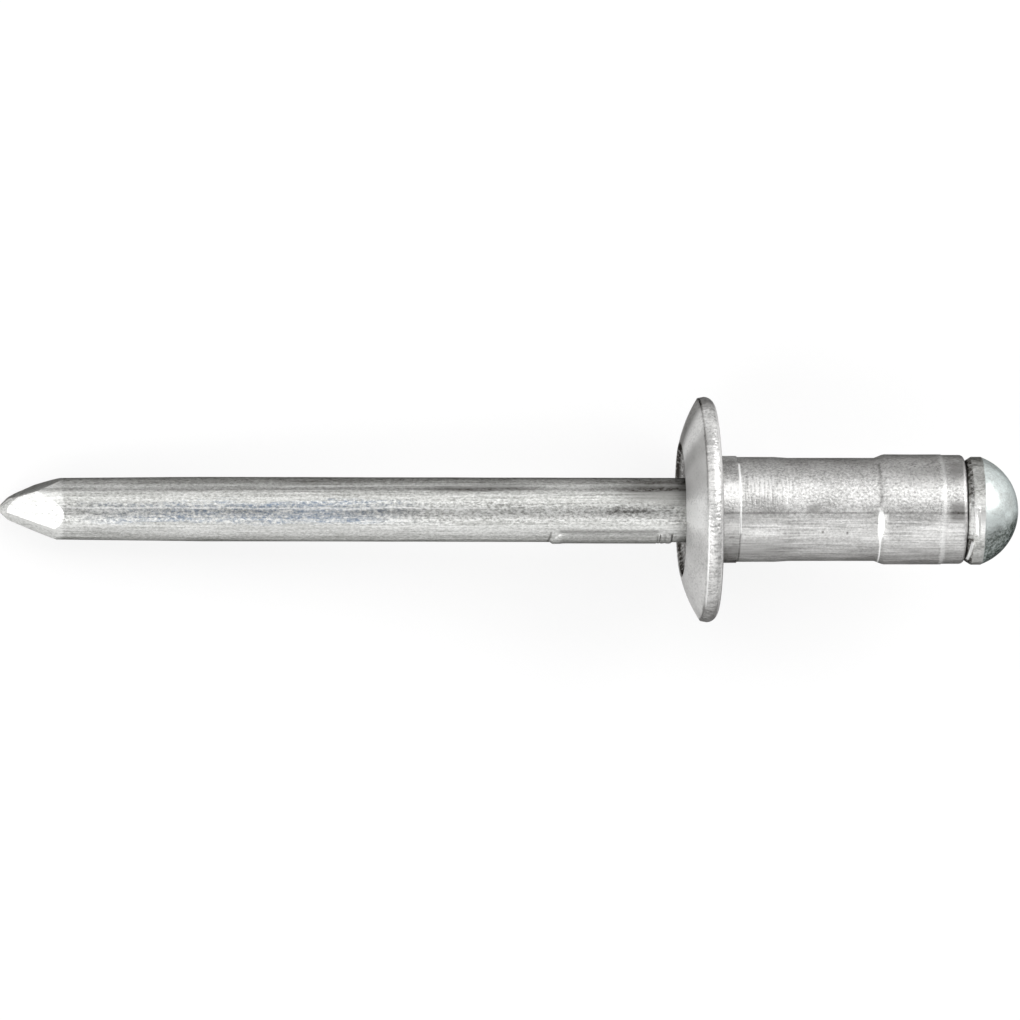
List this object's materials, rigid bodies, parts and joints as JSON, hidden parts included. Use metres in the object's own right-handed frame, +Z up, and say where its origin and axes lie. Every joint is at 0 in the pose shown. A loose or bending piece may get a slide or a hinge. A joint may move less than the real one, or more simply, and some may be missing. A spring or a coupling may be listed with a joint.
{
  "type": "blind rivet",
  "caption": "Unset blind rivet: aluminium body with a low domed flange and swollen end, on a steel pulling mandrel with a domed head, long stem and pinched point.",
  "frame": {"origin": "on the table, below the middle of the rivet's outline as it lies", "axes": "+Z up from the table, +X from the mandrel's point towards its head, which lies 7.25 degrees higher, +Y to the left when looking from the point to the head"},
  "size_m": [0.0442, 0.0098, 0.0098],
  "materials": {
    "body_aluminium": "cold-headed aluminium, satin, with die marks and small scuffs",
    "mandrel_steel": "zinc-plated steel, drawn lengthwise, mottled"
  },
  "bodies": {
    "root": {"rivet_body": "body_aluminium", "mandrel": "mandrel_steel"}
  },
  "joints": []
}
